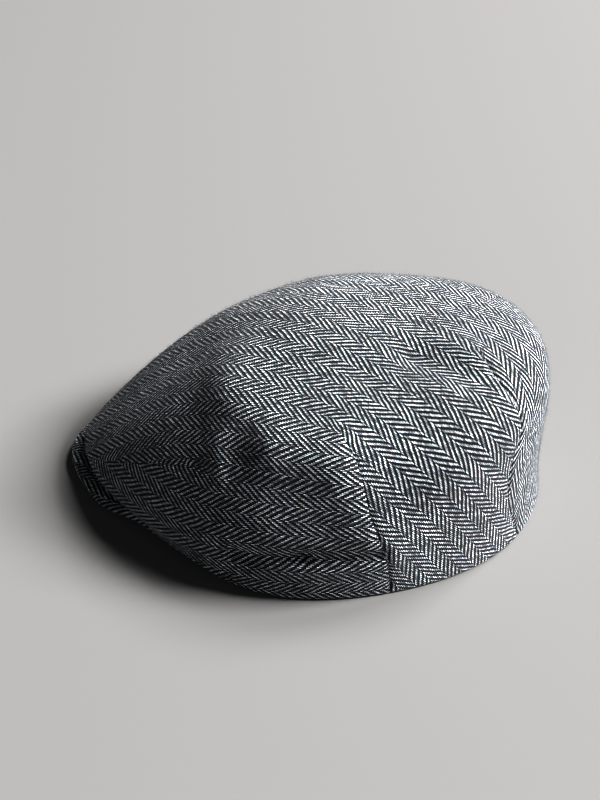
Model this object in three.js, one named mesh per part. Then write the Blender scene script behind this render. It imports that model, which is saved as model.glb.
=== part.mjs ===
import * as THREE from 'three';

// A flat cap of herringbone tweed: a hollow crown sewn from one darted piece of cloth, and a peak.
// Lengths are in millimetres. The cap lies on its hem: +Z is up, the peak points along -Y, and the
// wearer's left is +X.

// Driving dimensions of the crown
const CROWN_HEIGHT = 97;          // floor to the highest point of the crown
const APEX_BEHIND_MIDDLE = 6.5;   // the highest point lies this far behind the widest section
const HEM_HALF_WIDTH = 99;        // widest section, middle of the cap to the outside of the hem
const BACK_REACH = 112.5;         // widest section to the outside of the hem at the back
const FRONT_REACH = 126;          // widest section to the crown's front edge
const FRONT_EDGE_LIFT = 11.3;     // height of the crown's front edge over the floor, on the peak
const WALL_RISE = 22;             // hem to the line where the crown is widest
const WALL_LEAN = 2.2;            // how far the widest line lies in or out of the hem

// Driving dimensions of the cloth
const CLOTH = 2.5;                // the crown's wall: outer cloth and its backing
const HEM_THICKNESS = 5;          // the wall where the cloth is turned up inside
const HEM_DEPTH = 30;             // height of the turned-up cloth
const HEM_STEP = 6;               // the height over which the wall thins from the hem to the cloth
const EDGE_THICKNESS = 3.2;       // the crown's front edge, folded once
const SEAM_DEPTH = 0.8;           // the valley along each dart's seam
const SEAM_HALF_WIDTH = 2.6;
const SEAM_FADE = 10;             // the valley runs out over this length at the dart's tip
const EDGE_ROLL = 10;             // the height over which the inner face turns level towards the edge

// Driving dimensions of the peak
const PEAK_OVERHANG = 8.2;        // how far the peak shows in front of the crown's edge
const PEAK_THICKNESS = 4.5;
const PEAK_DROOP = 4;             // the peak's edge lies this much lower than its seat under the crown
const PEAK_RISE = 10;             // the peak's root lies this much higher than its seat
const PEAK_CORNER_TURN = 52;      // degrees from the front's middle to the peak's corners
const PEAK_CORNER_START = 0.75;   // share of that turn from which the root draws in to the corners
const PEAK_CORNER_DRAW = 0.85;    // how far it has drawn in at the corners
const PEAK_NOSE = 0.35;           // how far the edge is rounded in, as a share of the peak's thickness
const OPENING_FRONT = 78;         // widest section to the front of the head's opening
const SEAT_GAP = 0.3;             // clearance between the crown's edge and the peak

// The shape between the sections
const FLAT_TURN = 92;             // the hem lies on the floor up to this turn from the back's middle
const LIFTED_TURN = 108;          // and follows the sections' lift from this one
const THIN_LIFT = [0.1, 0.7];     // shares of FRONT_EDGE_LIFT between which the hem thins to a single fold
const EASED_SHARE = 0.5;          // the part of the way down from the apex over which the top is eased
const EASED_TURN = 70;            // degrees to each side over which it is eased at the apex
const WALL_LEAVES = 0.45;         // how far the wall runs straight down from the widest line
const WALL_ARRIVES = 0.3;         // how far it runs straight into the hem
const WALL_MEETS = 0.6;           // how soon the lean is taken up on the way down

// Fineness of the surfaces
const TOP_STEPS = 38;
const WALL_STEPS = 10;
const TOP_ROWS = 13;
const WALL_ROWS = 10;
const WALL_START = 0.68;          // share of the way down from the apex where the closer rows begin

// The crown's sections, one row for each turn in degrees from the middle of the back. The other side
// mirrors them.
// across: share of HEM_HALF_WIDTH.  along: share of BACK_REACH, or of FRONT_REACH where it is negative.
// lean: share of WALL_LEAN.  lift: share of FRONT_EDGE_LIFT.  rise: share of WALL_RISE.
// flat: how far the top runs level from the apex.  drop: how far the side stays upright over the widest line.
const SECTIONS = [
  { turn: 0, across: 0, along: 1, lean: -1, lift: 0, rise: 0.98, flat: 1.17, drop: 0.89 },
  { turn: 30, across: 0.549, along: 0.837, lean: -0.27, lift: 0, rise: 0.98, flat: 1.04, drop: 0.84 },
  { turn: 60, across: 0.875, along: 0.444, lean: 0.05, lift: 0, rise: 1.0, flat: 0.77, drop: 0.65 },
  { turn: 90, across: 1, along: 0, lean: 0.5, lift: 0, rise: 0.93, flat: 0.63, drop: 0.49 },
  { turn: 105, across: 0.974, along: -0.205, lean: 0.6, lift: 0.02, rise: 0.87, flat: 0.6, drop: 0.42 },
  { turn: 120, across: 0.864, along: -0.391, lean: 0.73, lift: 0.12, rise: 0.79, flat: 0.58, drop: 0.36 },
  { turn: 145, across: 0.61, along: -0.684, lean: 0.52, lift: 0.72, rise: 0.49, flat: 0.56, drop: 0.24 },
  { turn: 162, across: 0.365, along: -0.8815, lean: 0.25, lift: 0.91, rise: 0.27, flat: 0.475, drop: 0.13 },
  { turn: 180, across: 0, along: -1, lean: 0.16, lift: 1, rise: 0.15, flat: 0.4, drop: 0 },
];

// The seams of the darts, from the tip to the crown's lower edge, one row for each point.
// share: part of the way from the apex (0) down to the edge (1).
const DARTS = {
  rear: [
    { share: 0.387, turn: 17.5 },
    { share: 0.465, turn: 23.5 },
    { share: 0.583, turn: 26.5 },
    { share: 0.7, turn: 30 },
    { share: 0.82, turn: 30 },
    { share: 0.91, turn: 27 },
    { share: 1, turn: 23.5 },
  ],
  side: [
    { share: 0.454, turn: 80.5 },
    { share: 0.54, turn: 75.5 },
    { share: 0.685, turn: 72.5 },
    { share: 0.823, turn: 68.5 },
    { share: 1, turn: 66 },
  ],
  hem: [
    { share: 0.93, turn: 111 },
    { share: 1, turn: 111 },
  ],
  front: [
    { share: 0.654, turn: 126.5 },
    { share: 0.75, turn: 142.5 },
    { share: 0.87, turn: 158 },
    { share: 0.95, turn: 167 },
    { share: 1, turn: 171 },
  ],
};

// Columns of faces between the back's middle, each dart in turn and the front's middle.
const COLUMNS_BETWEEN = [4, 8, 7, 12, 7];

// Soft hollows (depth over 0) and ridges (depth under 0) on the side that the photo shows.
// Each runs straight from one place to another: turn in degrees, share as in DARTS.
// width and depth: shares of CROWN_HEIGHT.
const FOLDS = [
  { name: 'rear dart', turn: 32, share: 0.26, turnTo: 24, shareTo: 0.42, width: 0.1, depth: 0.026 },
  { name: 'hem, front half', turn: 112, share: 0.86, turnTo: 90, shareTo: 0.81, width: 0.06, depth: 0.016 },
  { name: 'hem, rear half', turn: 90, share: 0.81, turnTo: 70, shareTo: 0.81, width: 0.06, depth: 0.016 },
  { name: 'front dart', turn: 118, share: 0.6, turnTo: 136, shareTo: 0.4, width: 0.14, depth: -0.016 },
  { name: 'front slope', turn: 140, share: 0.58, turnTo: 154, shareTo: 0.44, width: 0.15, depth: 0.014 },
  { name: 'side dart', turn: 92, share: 0.52, turnTo: 84, shareTo: 0.36, width: 0.1, depth: 0.014 },
];

// The peak's sections, one row for each share of PEAK_CORNER_TURN from the front's middle.
// overhang, droop, rise and thickness: shares of the peak's sizes of those names.
const PEAK_SECTIONS = [
  { spread: 0, overhang: 1, droop: 1, rise: 1, thickness: 1 },
  { spread: 0.25, overhang: 0.74, droop: 0.9, rise: 0.94, thickness: 1 },
  { spread: 0.44, overhang: 0.54, droop: 0.8, rise: 0.8, thickness: 1 },
  { spread: 0.58, overhang: 0, droop: 0.45, rise: 0.66, thickness: 0.95 },
  { spread: 0.75, overhang: -0.18, droop: 0.15, rise: 0.44, thickness: 0.8 },
  { spread: 1, overhang: -0.25, droop: 0.05, rise: 0.1, thickness: 0.5 },
];

const smooth = (low, high, value) => THREE.MathUtils.smoothstep(value, low, high);
const mix = THREE.MathUtils.lerp;

// A cubic curve through a table's points. A round one repeats after its last point.
function curveThrough(xs, ys, round) {
  const count = xs.length - 1;
  const step = (i) => xs[i + 1] - xs[i];
  const rate = (i) => (ys[i + 1] - ys[i]) / step(i);
  const slopes = xs.map(() => 0);
  const sweeps = 60;
  for (let sweep = 0; sweep < sweeps; sweep++) {
    for (let i = 0; i <= count; i++) {
      const before = i > 0 ? i - 1 : round ? count - 1 : null;
      const after = i < count ? i : round ? 0 : null;
      let weight = 0;
      let total = 0;
      if (before !== null) {
        weight += 2 / step(before);
        total += (3 * rate(before) - slopes[before]) / step(before);
      }
      if (after !== null) {
        weight += 2 / step(after);
        total += (3 * rate(after) - slopes[after + 1]) / step(after);
      }
      slopes[i] = total / weight;
    }
  }
  return (x) => {
    let i = 0;
    while (i < count - 1 && x > xs[i + 1]) i++;
    const h = step(i);
    const t = THREE.MathUtils.clamp((x - xs[i]) / h, 0, 1);
    const near = ys[i] * (1 + 2 * t) * (1 - t) ** 2 + h * slopes[i] * t * (1 - t) ** 2;
    const far = ys[i + 1] * t * t * (3 - 2 * t) + h * slopes[i + 1] * t * t * (t - 1);
    return near + far;
  };
}

// One column of SECTIONS as a curve round the whole cap. sign is -1 for a column that changes sign on the
// other side.
function roundCap(key, sign = 1) {
  const mirrored = SECTIONS.slice(1).reverse().map((row) => ({ turn: -row.turn, value: sign * row[key] }));
  const own = SECTIONS.map((row) => ({ turn: row.turn, value: row[key] }));
  const rows = [...mirrored, ...own];
  const curve = curveThrough(rows.map((row) => row.turn), rows.map((row) => row.value), true);
  return (turn) => curve(THREE.MathUtils.euclideanModulo(turn + 180, 360) - 180);
}

const section = {
  across: roundCap('across', -1),
  along: roundCap('along'),
  lean: roundCap('lean'),
  lift: roundCap('lift'),
  rise: roundCap('rise'),
  flat: roundCap('flat'),
  drop: roundCap('drop'),
};

// The point of the crown's lower edge at a turn, and the direction that faces outwards there in plan.
function edgePoint(turn) {
  const along = section.along(turn);
  const y = along * (along > 0 ? BACK_REACH : FRONT_REACH);
  const fromBack = Math.abs(THREE.MathUtils.euclideanModulo(turn + 180, 360) - 180);
  const lift = Math.max(0, section.lift(turn)) * smooth(FLAT_TURN, LIFTED_TURN, fromBack);
  return new THREE.Vector3(HEM_HALF_WIDTH * section.across(turn), y, FRONT_EDGE_LIFT * lift);
}

function edgeOutwards(turn) {
  const step = 0.5;
  const way = edgePoint(turn + step).sub(edgePoint(turn - step));
  return new THREE.Vector3(-way.y, way.x, 0).normalize();
}

const bezier = (a, b, c, d, t) =>
  a * (1 - t) ** 3 + 3 * b * t * (1 - t) ** 2 + 3 * c * t * t * (1 - t) + d * t ** 3;

// The crown's line from the apex down to its edge at a turn, as points and the length run so far.
const profiles = new Map();
function profile(turn) {
  if (profiles.has(turn)) return profiles.get(turn);
  const apex = new THREE.Vector3(0, APEX_BEHIND_MIDDLE, CROWN_HEIGHT);
  const edge = edgePoint(turn);
  const wide = edge.clone().addScaledVector(edgeOutwards(turn), WALL_LEAN * section.lean(turn));
  wide.z = edge.z + WALL_RISE * section.rise(turn);
  const points = [];
  for (let i = 0; i <= TOP_STEPS; i++) {
    const t = i / TOP_STEPS;
    const out = bezier(0, section.flat(turn), 1, 1, t);
    const upright = wide.z + section.drop(turn) * (apex.z - wide.z);
    const point = apex.clone().lerp(wide, out);
    point.z = bezier(apex.z, apex.z, upright, wide.z, t);
    points.push(point);
  }
  const fall = wide.z - edge.z;
  for (let i = 1; i <= WALL_STEPS; i++) {
    const t = i / WALL_STEPS;
    const point = wide.clone().lerp(edge, bezier(0, 0, WALL_MEETS, 1, t));
    point.z = bezier(wide.z, wide.z - WALL_LEAVES * fall, edge.z + WALL_ARRIVES * fall, edge.z, t);
    points.push(point);
  }
  const run = [0];
  for (let i = 1; i < points.length; i++) run.push(run[i - 1] + points[i].distanceTo(points[i - 1]));
  const made = { points, run, length: run[run.length - 1] };
  profiles.set(turn, made);
  return made;
}

function profilePoint(turn, share) {
  const { points, run, length } = profile(turn);
  const wanted = THREE.MathUtils.clamp(share, 0, 1) * length;
  let i = 0;
  while (i < run.length - 2 && run[i + 1] < wanted) i++;
  return points[i].clone().lerp(points[i + 1], (wanted - run[i]) / (run[i + 1] - run[i]));
}

// The crown's outer surface before its folds and seams. Near the apex the heights of neighbouring profiles
// are averaged, because the cloth passes over the top in one smooth curve.
function plainPoint(turn, share) {
  const point = profilePoint(turn, share);
  const reach = EASED_TURN * (1 - share / EASED_SHARE);
  if (reach <= 0) return point;
  const weights = [1, 4, 6, 4, 1];
  const sum = 16;
  point.z = weights.reduce((z, weight, k) => {
    const neighbour = profilePoint(turn + ((k - 2) / 2) * reach, share);
    return z + (weight / sum) * neighbour.z;
  }, 0);
  return point;
}

function outwards(turn, share) {
  const step = 0.01;
  const low = THREE.MathUtils.clamp(share, 2 * step, 1 - step);
  const down = plainPoint(turn, low + step).sub(plainPoint(turn, low - step));
  const round = plainPoint(turn + 1, low).sub(plainPoint(turn - 1, low));
  return round.cross(down).normalize();
}

// How far the folds push the cloth in at a point.
const foldLines = FOLDS.map((fold) => ({
  line: new THREE.Line3(plainPoint(fold.turn, fold.share), plainPoint(fold.turnTo, fold.shareTo)),
  width: fold.width * CROWN_HEIGHT,
  depth: fold.depth * CROWN_HEIGHT,
}));

function foldDepth(point) {
  const nearest = new THREE.Vector3();
  let depth = 0;
  for (const fold of foldLines) {
    const away = fold.line.closestPointToPoint(point, true, nearest).distanceTo(point);
    depth += fold.depth * Math.exp(-((away / fold.width) ** 2));
  }
  return depth;
}

// The line that a column of faces follows: a dart's seam, and straight on from its tip to the apex.
function seamLine(rows) {
  const curve = curveThrough(rows.map((row) => row.share), rows.map((row) => row.turn), false);
  const tip = rows[0].share;
  const turnAt = (share) => curve(Math.max(share, tip));
  // Degrees of turn from the seam to the valley's edge, measured square to the seam.
  const halfTurn = (share) => {
    const step = 0.02;
    const at = THREE.MathUtils.clamp(share, tip + step, 1 - step);
    const above = plainPoint(turnAt(at - step), at - step);
    const way = plainPoint(turnAt(at + step), at + step).sub(above).normalize();
    const round = plainPoint(turnAt(at) + 1, at).sub(plainPoint(turnAt(at), at));
    return SEAM_HALF_WIDTH / round.cross(way).length();
  };
  return { tip, turnAt, halfTurn };
}

// The crown's columns from the back's middle round the wearer's left to the front's middle.
function halfColumns() {
  const still = (turn) => ({ tip: 1, turnAt: () => turn, halfTurn: () => 0 });
  const lines = [still(0), ...Object.values(DARTS).map(seamLine), still(180)];
  const columns = [];
  lines.forEach((line, i) => {
    const seam = i > 0 && i < lines.length - 1;
    if (seam) columns.push({ turnAt: (share) => line.turnAt(share) - line.halfTurn(share), seam: null });
    columns.push({ turnAt: line.turnAt, seam: seam ? line : null });
    if (seam) columns.push({ turnAt: (share) => line.turnAt(share) + line.halfTurn(share), seam: null });
    if (i === lines.length - 1) return;
    const next = lines[i + 1];
    for (let k = 1; k < COLUMNS_BETWEEN[i]; k++) {
      const part = k / COLUMNS_BETWEEN[i];
      const turnAt = (share) => {
        const from = line.turnAt(share) + line.halfTurn(share);
        const to = next.turnAt(share) - next.halfTurn(share);
        return mix(from, to, part);
      };
      columns.push({ turnAt, seam: null });
    }
  });
  return columns;
}

function allColumns() {
  const half = halfColumns();
  const mirrored = half.slice(1, -1).reverse().map((column) => ({
    turnAt: (share) => -column.turnAt(share),
    seam: column.seam,
  }));
  return [...half, ...mirrored];
}

// Rows of faces: wider on the top, closer over the wall and the hem.
function rowShares() {
  const shares = [];
  for (let i = 1; i <= TOP_ROWS; i++) shares.push((WALL_START * i) / TOP_ROWS);
  for (let i = 1; i <= WALL_ROWS; i++) shares.push(mix(WALL_START, 1, i / WALL_ROWS));
  return shares;
}

function outerPoint(column, share) {
  const turn = column.turnAt(share);
  const point = plainPoint(turn, share);
  if (share === 1) return point;
  let depth = foldDepth(point);
  if (column.seam) {
    const run = (share - column.seam.tip) * profile(turn).length;
    depth += SEAM_DEPTH * smooth(0, SEAM_FADE, run);
  }
  return point.addScaledVector(outwards(turn, share), -depth);
}

// The crown's lower edge is as thick as the hem, and thins to a single fold where it lies on the peak.
function edgeThickness(turn) {
  const [from, to] = THIN_LIFT;
  return mix(HEM_THICKNESS, EDGE_THICKNESS, smooth(from, to, section.lift(turn)));
}

function wallThickness(turn, share) {
  const overEdge = (1 - share) * profile(turn).length;
  return mix(edgeThickness(turn), CLOTH, smooth(HEM_DEPTH - HEM_STEP, HEM_DEPTH, overEdge));
}

function innerPoint(column, share) {
  const turn = column.turnAt(share);
  const point = plainPoint(turn, share);
  const overEdge = (1 - share) * profile(turn).length;
  const square = outwards(turn, share);
  const level = edgeOutwards(turn);
  const way = square.lerp(level, 1 - smooth(0, EDGE_ROLL, overEdge)).normalize();
  const depth = share < 1 ? foldDepth(point) : 0;
  return point.addScaledVector(way, -depth - wallThickness(turn, share));
}

// A closed body from rings of points, with a point beyond the first ring and one beyond the last.
function bodyFromRings(rings, topPoint, bottomPoint, material, name) {
  const around = rings[0].length;
  const positions = [topPoint, ...rings.flat(), bottomPoint].flatMap((point) => point.toArray());
  const at = (ring, column) => 1 + ring * around + (column % around);
  const faces = [];
  for (let k = 0; k < around; k++) {
    faces.push(0, at(0, k + 1), at(0, k));
    for (let ring = 0; ring < rings.length - 1; ring++) {
      faces.push(at(ring, k), at(ring, k + 1), at(ring + 1, k + 1));
      faces.push(at(ring, k), at(ring + 1, k + 1), at(ring + 1, k));
    }
    faces.push(1 + rings.length * around, at(rings.length - 1, k), at(rings.length - 1, k + 1));
  }
  const geometry = new THREE.BufferGeometry();
  geometry.setAttribute('position', new THREE.Float32BufferAttribute(positions, 3));
  geometry.setIndex(faces);
  geometry.computeVertexNormals();
  const mesh = new THREE.Mesh(geometry, material);
  mesh.name = name;
  return mesh;
}

function makeCrown(material) {
  const columns = allColumns();
  const shares = rowShares();
  const innerShares = shares.filter((share, i) => i % 2 === 0 || i > shares.length - 3);
  const outer = shares.map((share) => columns.map((column) => outerPoint(column, share)));
  const inner = innerShares.reverse().map((share) => columns.map((column) => innerPoint(column, share)));
  const middle = { turnAt: () => 0, seam: null };
  return bodyFromRings([...outer, ...inner], outerPoint(middle, 0), innerPoint(middle, 0), material, 'crown');
}

// The peak's section at a turn from the front's middle, as a closed line from its root over the top and back.
function peakSection(turn) {
  const spread = Math.abs(turn) / PEAK_CORNER_TURN;
  const size = (key) => peakCurves[key](spread);
  const capTurn = 180 - turn;
  const edge = edgePoint(capTurn);
  const out = edgeOutwards(capTurn);
  const seat = edge.clone().addScaledVector(out, -edgeThickness(capTurn));
  seat.z = edge.z - SEAT_GAP;
  const thick = PEAK_THICKNESS * size('thickness');
  const tip = edge.clone().addScaledVector(out, PEAK_OVERHANG * size('overhang'));
  tip.z = seat.z - PEAK_DROOP * size('droop');
  const openingHalfWidth = HEM_HALF_WIDTH - HEM_THICKNESS;
  const around = Math.atan2(edge.x, -edge.y);
  const rootReach = 1 / Math.hypot(Math.sin(around) / openingHalfWidth, Math.cos(around) / OPENING_FRONT);
  const root = new THREE.Vector3(rootReach * Math.sin(around), -rootReach * Math.cos(around), 0);
  root.lerp(seat, PEAK_CORNER_DRAW * smooth(PEAK_CORNER_START, 1, spread));
  root.z = seat.z + PEAK_RISE * size('rise');
  const shoulder = tip.clone().addScaledVector(out, -PEAK_NOSE * thick);
  const below = (point) => point.clone().setZ(point.z - thick);
  const nose = tip.clone().setZ(tip.z - thick / 2);
  const inside = root.clone().lerp(seat, 0.5);
  return [root, inside, seat, shoulder, nose, below(shoulder), below(seat), below(inside), below(root)];
}

// The peak's tables run from one corner to the other, mirrored at the middle.
const farRows = PEAK_SECTIONS.slice(1).reverse().map((row) => ({ ...row, spread: -row.spread }));
const peakRows = [...farRows, ...PEAK_SECTIONS];
const spreads = peakRows.map((row) => row.spread);
const peakCurve = (key) => curveThrough(spreads, peakRows.map((row) => row[key]), false);
const peakCurves = {
  overhang: peakCurve('overhang'),
  droop: peakCurve('droop'),
  rise: peakCurve('rise'),
  thickness: peakCurve('thickness'),
};

function makePeak(material) {
  // The sections stand where the crown's columns end, so that the gap to its edge is even.
  const turns = halfColumns().map((column) => 180 - column.turnAt(1));
  const half = [PEAK_CORNER_TURN, ...turns.filter((turn) => turn < PEAK_CORNER_TURN)];
  const otherHalf = half.slice(0, -1).reverse().map((turn) => -turn);
  const rings = [...half, ...otherHalf].map(peakSection).reverse();
  const centre = (ring) => new THREE.Box3().setFromPoints(ring).getCenter(new THREE.Vector3());
  return bodyFromRings(rings, centre(rings[0]), centre(rings[rings.length - 1]), material, 'peak');
}

const tweed = new THREE.MeshStandardMaterial({ color: 0x6b6c70, roughness: 0.95, metalness: 0 });
const peakTweed = new THREE.MeshStandardMaterial({ color: 0x5c5d62, roughness: 0.95, metalness: 0 });

const cap = new THREE.Group();
cap.name = 'flat_cap';
cap.add(makeCrown(tweed), makePeak(peakTweed));
cap.position.y = (FRONT_REACH + PEAK_OVERHANG - BACK_REACH) / 2;

export default cap;
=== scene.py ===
# %% [markdown]
# # A herringbone tweed flat cap
# This lesson dresses a flat cap that lies on a floor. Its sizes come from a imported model, the frame, which is loaded
# first and never moved. The crown is one darted piece of cloth. Its shape could be sculpted, simulated or lofted.
# It is lofted here through a few sections, because they fix the outline and the darts exactly.

import math

import bpy
import numpy as np
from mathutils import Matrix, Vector


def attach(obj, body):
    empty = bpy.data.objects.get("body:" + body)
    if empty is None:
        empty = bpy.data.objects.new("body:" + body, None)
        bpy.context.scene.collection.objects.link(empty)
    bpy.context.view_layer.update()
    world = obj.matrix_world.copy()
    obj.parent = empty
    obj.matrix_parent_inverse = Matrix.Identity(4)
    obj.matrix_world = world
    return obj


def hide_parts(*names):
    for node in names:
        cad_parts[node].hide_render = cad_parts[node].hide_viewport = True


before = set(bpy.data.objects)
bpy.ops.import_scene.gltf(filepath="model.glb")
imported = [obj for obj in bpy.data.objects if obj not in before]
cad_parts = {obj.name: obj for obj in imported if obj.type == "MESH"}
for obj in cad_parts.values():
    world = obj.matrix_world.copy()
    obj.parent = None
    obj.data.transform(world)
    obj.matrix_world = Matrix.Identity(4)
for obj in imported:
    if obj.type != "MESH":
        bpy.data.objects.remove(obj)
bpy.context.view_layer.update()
MM = 0.001

# %% [markdown]
# ## The camera
# The view is from the wearer's left and well above the cap. A long lens far away would flatten the cap. The real
# picture has the perspective of a camera about 70 cm away, so the camera stands there and looks at the cap's middle.

# %% The camera
FOCAL_LENGTH = 60.75             # in mm, on a picture whose long side is 36 mm
CAMERA_PLACE = (549.6, 54.5, 455.0)
CAMERA_AIM = (0, -1.7, 43.3)

camera = bpy.data.objects.new("camera", bpy.data.cameras.new("camera"))
bpy.context.scene.collection.objects.link(camera)
camera.location = Vector(CAMERA_PLACE) * MM
sight = Vector(CAMERA_AIM) - Vector(CAMERA_PLACE)
camera.rotation_euler = sight.to_track_quat("-Z", "Y").to_euler()
camera.data.lens = FOCAL_LENGTH
bpy.context.scene.camera = camera
print("camera", round(sight.length), "mm from the cap's middle")

# %% [markdown]
# ## Colours and nodes
# A colour given as a hex value is in sRGB, and shaders work in linear light, so one function converts it. A second
# small function adds any node, sets its values and links its inputs. The sums and blends that come up again and again
# have a short form of it each.

# %% Helpers for materials
def linear(hex_colour):
    parts = [int(hex_colour[i:i + 2], 16) / 255 for i in (1, 3, 5)]
    return tuple(p / 12.92 if p <= 0.04045 else ((p + 0.055) / 1.055) ** 2.4 for p in parts) + (1,)


def add(tree, kind, inputs=None, **settings):
    made = tree.nodes.new("ShaderNode" + kind)
    for name, value in settings.items():
        setattr(made, name, value)
    for name, value in (inputs or {}).items():
        if isinstance(value, bpy.types.Node):
            value = value.outputs[0]
        if isinstance(value, bpy.types.NodeSocket):
            tree.links.new(value, made.inputs[name])
        else:
            made.inputs[name].default_value = value
    return made


def calc(tree, operation, *values):
    return add(tree, "Math", dict(enumerate(values)), operation=operation)


def blend(tree, factor, start, end):
    return add(tree, "Mix", {0: factor, 6: start, 7: end}, data_type="RGBA").outputs[2]


def new_material(name):
    material = bpy.data.materials.new(name)
    material.use_nodes = True
    material.node_tree.nodes.clear()
    return material, material.node_tree


# %% [markdown]
# ## The stage
# The cap lies on a plain pale floor. A soft window stands behind its back, at the height where it lights the top and
# leaves the near side in shade, and a weaker one fills in from higher up. A wide faint light on the near side and a
# dim sky keep the shade from going black.

# %% The floor
FLOOR_SIZE = 6000                # in mm, so wide that the camera doesn't see its edges
FLOOR_COLOUR = "#767574"
PLASTER_ROUGHNESS = 0.9

floor_mesh = bpy.data.meshes.new("floor")
half = FLOOR_SIZE * MM / 2
floor_mesh.from_pydata([(-half, -half, 0), (half, -half, 0), (half, half, 0), (-half, half, 0)], [], [(0, 1, 2, 3)])
floor = bpy.data.objects.new("floor", floor_mesh)
bpy.context.scene.collection.objects.link(floor)
plaster, tree = new_material("matt plaster")
plaster_shader = add(tree, "BsdfPrincipled", {"Base Color": linear(FLOOR_COLOUR), "Roughness": PLASTER_ROUGHNESS})
add(tree, "OutputMaterial", {"Surface": plaster_shader})
floor_mesh.materials.append(plaster)
print("floor", FLOOR_SIZE, "mm across")

# %% The lights
# turn: degrees from the wearer's left (+X) towards the back (+Y).  height: degrees over the floor.
# size: across, in mm.  power: in watts.
LIGHTS = [
    {"name": "back_window", "turn": 95, "height": 39, "size": 2400, "power": 2450},
    {"name": "high_window", "turn": 132, "height": 50, "size": 2400, "power": 750},
    {"name": "near_fill", "turn": -15, "height": 22, "size": 4000, "power": 75},
]
LIGHT_DISTANCE = 8000            # far away, so that the floor is evenly lit
SKY_COLOUR = "#dfe3ea"
SKY_STRENGTH = 0.08

for lamp in LIGHTS:
    light = bpy.data.lights.new(lamp["name"], "AREA")
    light.size = lamp["size"] * MM
    light.energy = lamp["power"]
    holder = bpy.data.objects.new(lamp["name"], light)
    bpy.context.scene.collection.objects.link(holder)
    turn, height = math.radians(lamp["turn"]), math.radians(lamp["height"])
    level = math.cos(height)
    way = Vector((level * math.cos(turn), level * math.sin(turn), math.sin(height)))
    holder.location = way * LIGHT_DISTANCE * MM
    holder.rotation_euler = way.to_track_quat("Z", "Y").to_euler()

sky = bpy.data.worlds.new("sky")
bpy.context.scene.world = sky
sky.use_nodes = True
background = sky.node_tree.nodes["Background"]
background.inputs["Color"].default_value = linear(SKY_COLOUR)
background.inputs["Strength"].default_value = SKY_STRENGTH
print("lights", [lamp["name"] for lamp in LIGHTS])

# %% [markdown]
# The real picture is contrasty: black gaps and nearly white yarns stand side by side. The plain view transform with
# a gamma below 1 gives such contrast. A narrow pixel filter keeps yarns sharp that are hardly wider than a pixel.

# %% The picture's contrast
CONTRAST = 1.42                  # linear light is raised to this power
PIXEL_FILTER = 1.0               # in pixels

view = bpy.context.scene.view_settings
view.view_transform = "Standard"
view.gamma = 1 / CONTRAST
bpy.context.scene.cycles.filter_width = PIXEL_FILTER
print("gamma", round(view.gamma, 3))

# %% [markdown]
# ## The crown's sections
# A cap maker shapes a crown over a block and checks it with templates. The table below holds such templates, one for
# each turn in degrees from the middle of the back, and a smooth curve is drawn through each column. The wearer's left
# is +X, the peak points along -Y, and the other side mirrors the rows.

# %% The crown's driving sizes, in mm
CROWN_HEIGHT = 97                # floor to the highest point of the crown
APEX_BEHIND_MIDDLE = 6.5         # the highest point lies this far behind the widest section
HEM_HALF_WIDTH = 99              # widest section, middle of the cap to the outside of the hem
BACK_REACH = 112.5               # widest section to the outside of the hem at the back
FRONT_REACH = 126                # widest section to the crown's front edge
FRONT_EDGE_LIFT = 11.3           # height of the crown's front edge over the floor, on the peak
WALL_RISE = 22                   # hem to the line where the crown is widest
WALL_LEAN = 2.2                  # how far the widest line lies in or out of the hem
PEAK_OVERHANG = 8.2              # how far the peak shows in front of the crown's edge
MIDDLE_Y = (FRONT_REACH + PEAK_OVERHANG - BACK_REACH) / 2   # the widest section, in the frame

FLAT_TURN = 92                   # the hem lies on the floor up to this turn from the back's middle
LIFTED_TURN = 108                # and follows the sections' lift from this one
WALL_LEAVES = 0.45               # how far the wall runs straight down from the widest line
WALL_ARRIVES = 0.3               # how far it runs straight into the hem
WALL_MEETS = 0.6                 # how soon the lean is taken up on the way down


def table(columns, *rows):
    """Rows of named values. The names are written once, over the rows."""
    return [dict(zip(columns.split(), row)) for row in rows]


# across: share of HEM_HALF_WIDTH.  along: share of BACK_REACH, or of FRONT_REACH where it is negative.
# lean: share of WALL_LEAN.  lift: share of FRONT_EDGE_LIFT.  rise: share of WALL_RISE.
# flat: how far the top runs level from the apex.  drop: how far the side stays upright over the widest line.
SECTIONS = table(
    "turn across along    lean   lift  rise  flat   drop",
    (0,   0,     1,       -1,    0,    0.98, 1.17,  0.89),
    (30,  0.549, 0.837,   -0.27, 0,    0.98, 1.04,  0.84),
    (60,  0.875, 0.444,   0.05,  0,    1,    0.77,  0.65),
    (90,  1,     0,       0.5,   0,    0.93, 0.63,  0.49),
    (105, 0.974, -0.205,  0.6,   0.02, 0.87, 0.6,   0.42),
    (120, 0.864, -0.391,  0.73,  0.12, 0.79, 0.58,  0.36),
    (145, 0.61,  -0.684,  0.52,  0.72, 0.49, 0.56,  0.24),
    (162, 0.365, -0.8815, 0.25,  0.91, 0.27, 0.475, 0.13),
    (180, 0,     -1,      0.16,  1,    0.15, 0.4,   0),
)

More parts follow.
